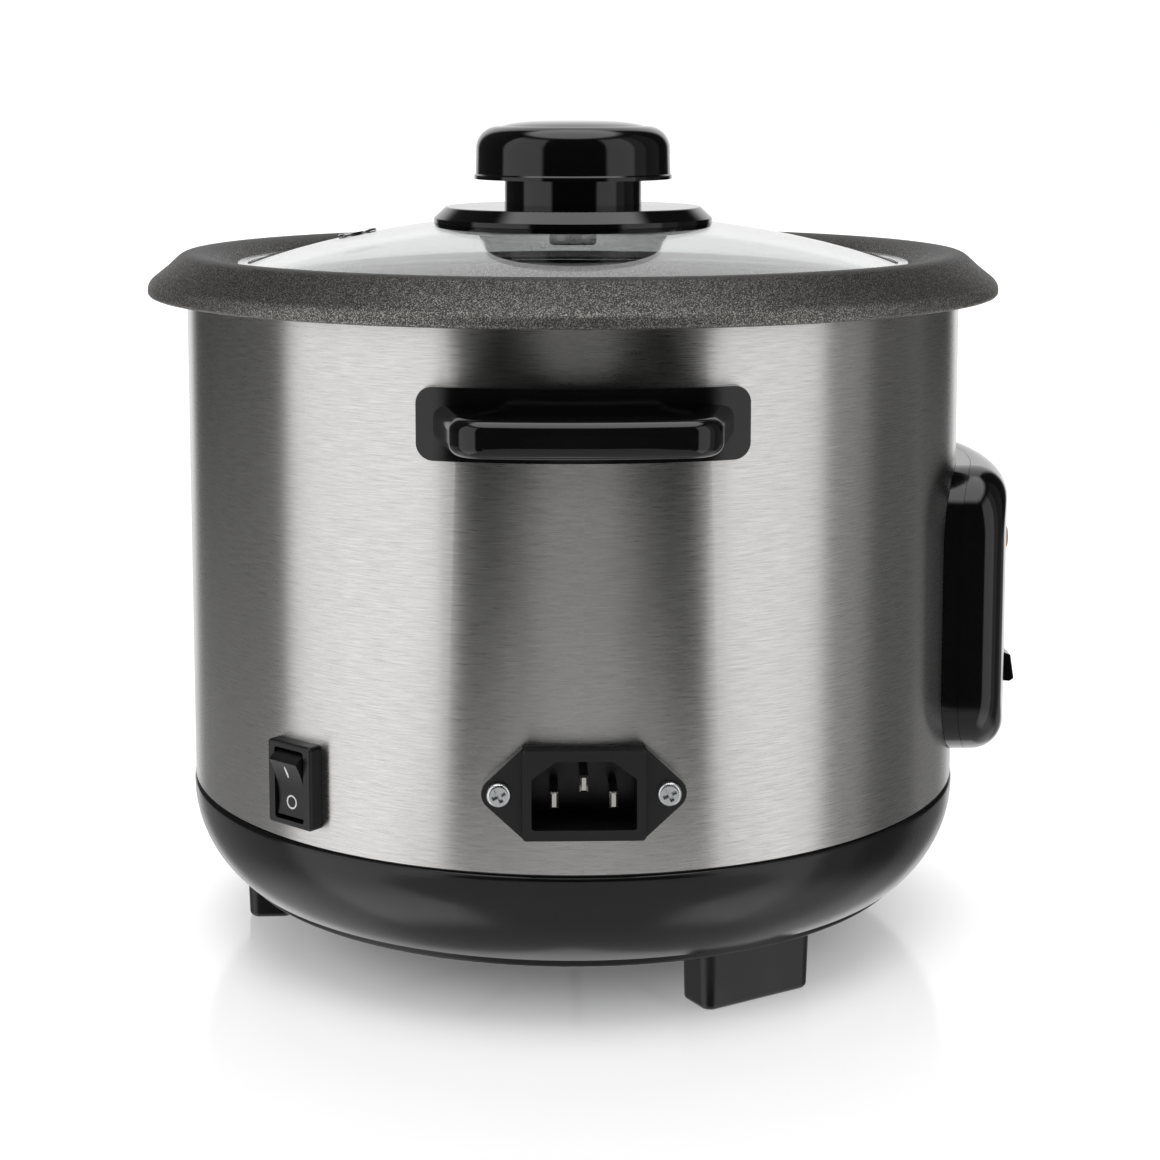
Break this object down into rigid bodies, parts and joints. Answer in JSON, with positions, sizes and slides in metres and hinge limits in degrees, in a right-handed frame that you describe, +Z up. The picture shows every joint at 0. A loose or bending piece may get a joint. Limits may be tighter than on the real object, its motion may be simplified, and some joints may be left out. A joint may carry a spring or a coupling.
{
  "type": "rice cooker",
  "caption": "Drum rice cooker with steel jacket, lift-out coated pot, glass lid, side handles, front lever panel, mains inlet and rocker switch.",
  "frame": {"origin": "on the jacket's axis, level with the soles of the feet", "axes": "+Z up; -Y is the front with the control panel; -X is the side with the mains inlet; +X and -X carry the handles"},
  "size_m": [0.263, 0.2375, 0.2182],
  "materials": {
    "black_plastic": "glossy black moulded plastic",
    "satin_plastic": "satin black moulded plastic",
    "brushed_steel": "stainless steel brushed around the drum",
    "polished_steel": "polished stainless steel",
    "aluminised_steel": "pressed aluminised sheet",
    "cast_aluminium": "machined cast aluminium",
    "zinc_steel": "zinc-plated steel",
    "spring_steel": "drawn spring wire",
    "nickel": "nickel-plated brass",
    "brass": "bare brass",
    "ceramic_body": "unglazed ceramic",
    "fuse_sleeve": "woven glass sleeve",
    "amber_lens": "tinted clear lens",
    "red_lens": "tinted clear lens",
    "lamp_glass": "clear lamp glass",
    "pot_coating": "dark grey non-stick coating with fine metallic flecks",
    "lid_glass": "clear tempered glass",
    "ferrite": "sintered ferrite"
  },
  "bodies": {
    "housing": {"base_shell": "black_plastic", "bottom_cover": "satin_plastic", "foot_rear": "satin_plastic", "foot_left": "satin_plastic", "foot_right": "satin_plastic", "base_screws": "zinc_steel", "jacket": "brushed_steel", "inner_liner": "aluminised_steel", "heating_plate": "cast_aluminium", "heating_element": "zinc_steel", "plate_spacers": "zinc_steel", "plate_screws": "zinc_steel", "thermostat_tube": "aluminised_steel", "sensor_spring": "spring_steel", "magnet_spring": "spring_steel", "lever_bracket": "zinc_steel", "pivot_pin": "spring_steel", "contact_block": "ceramic_body", "fixed_contact": "brass", "thermal_fuse": "fuse_sleeve", "fuse_clip": "zinc_steel", "panel_frame": "black_plastic", "panel_cover": "black_plastic", "cook_lens": "amber_lens", "warm_lens": "red_lens", "indicator_lamps": "lamp_glass", "panel_screws": "zinc_steel", "inlet_body": "satin_plastic", "inlet_pins": "nickel", "inlet_screws": "zinc_steel", "switch_body": "satin_plastic", "switch_terminals": "brass", "handle_left": "black_plastic", "handle_right": "black_plastic", "handle_screws_left": "zinc_steel", "handle_screws_right": "zinc_steel"},
    "pot": {"inner_pot": "pot_coating"},
    "lid": {"lid_glass": "lid_glass", "lid_band": "polished_steel", "vent_eyelet": "polished_steel", "knob_flange": "black_plastic", "lid_knob": "black_plastic", "knob_seat": "black_plastic", "knob_screw": "zinc_steel"},
    "sensor": {"sensor_cap": "cast_aluminium", "sensor_ferrite": "ferrite"},
    "lever": {"cook_lever": "zinc_steel", "lever_knob": "black_plastic"},
    "plunger": {"magnet_rod": "brass", "magnet": "ferrite"},
    "blade": {"contact_blade": "brass"},
    "rocker": {"switch_rocker": "satin_plastic"}
  },
  "joints": [
    {"name": "pot_lift", "type": "slide", "parent": "housing", "child": "pot", "axis": [0, 0, 1], "range_m": [0, 0.12]},
    {"name": "lid_lift", "type": "slide", "parent": "pot", "child": "lid", "axis": [0, 0, 1], "range_m": [0, 0.06]},
    {"name": "sensor_press", "type": "slide", "parent": "housing", "child": "sensor", "axis": [0, 0, 1], "range_m": [-0.0015, 0], "stiffness_N_per_m": 400, "springref_m": 0.004, "deforming": ["sensor_spring"]},
    {"name": "lever_press", "type": "hinge", "parent": "housing", "child": "lever", "pos_m": [0, -0.035, 0.0588], "axis": [1, 0, 0], "range_deg": [0, 4.82], "stiffness_Nm_per_rad": 0.15, "springref_deg": -14.32},
    {"name": "plunger_lift", "type": "slide", "parent": "housing", "child": "plunger", "axis": [0, 0, 1], "range_m": [0, 0.0031], "deforming": ["magnet_spring"]},
    {"name": "blade_flex", "type": "hinge", "parent": "housing", "child": "blade", "pos_m": [0.015, 0.0127, 0.0536], "axis": [1, 0, 0], "range_deg": [-4.5, 0], "stiffness_Nm_per_rad": 0.0005, "springref_deg": -19.48},
    {"name": "rocker_tilt", "type": "hinge", "parent": "housing", "child": "rocker", "pos_m": [-0.07824, 0.06897, 0.05735], "axis": [0.6613, 0.7501, 0], "range_deg": [0, 22]}
  ],
  "couplings": [
    {"joint": "plunger_lift", "follows": "lever_press", "m_per_rad": 0.035},
    {"joint": "blade_flex", "follows": "lever_press", "ratio": -0.9}
  ]
}
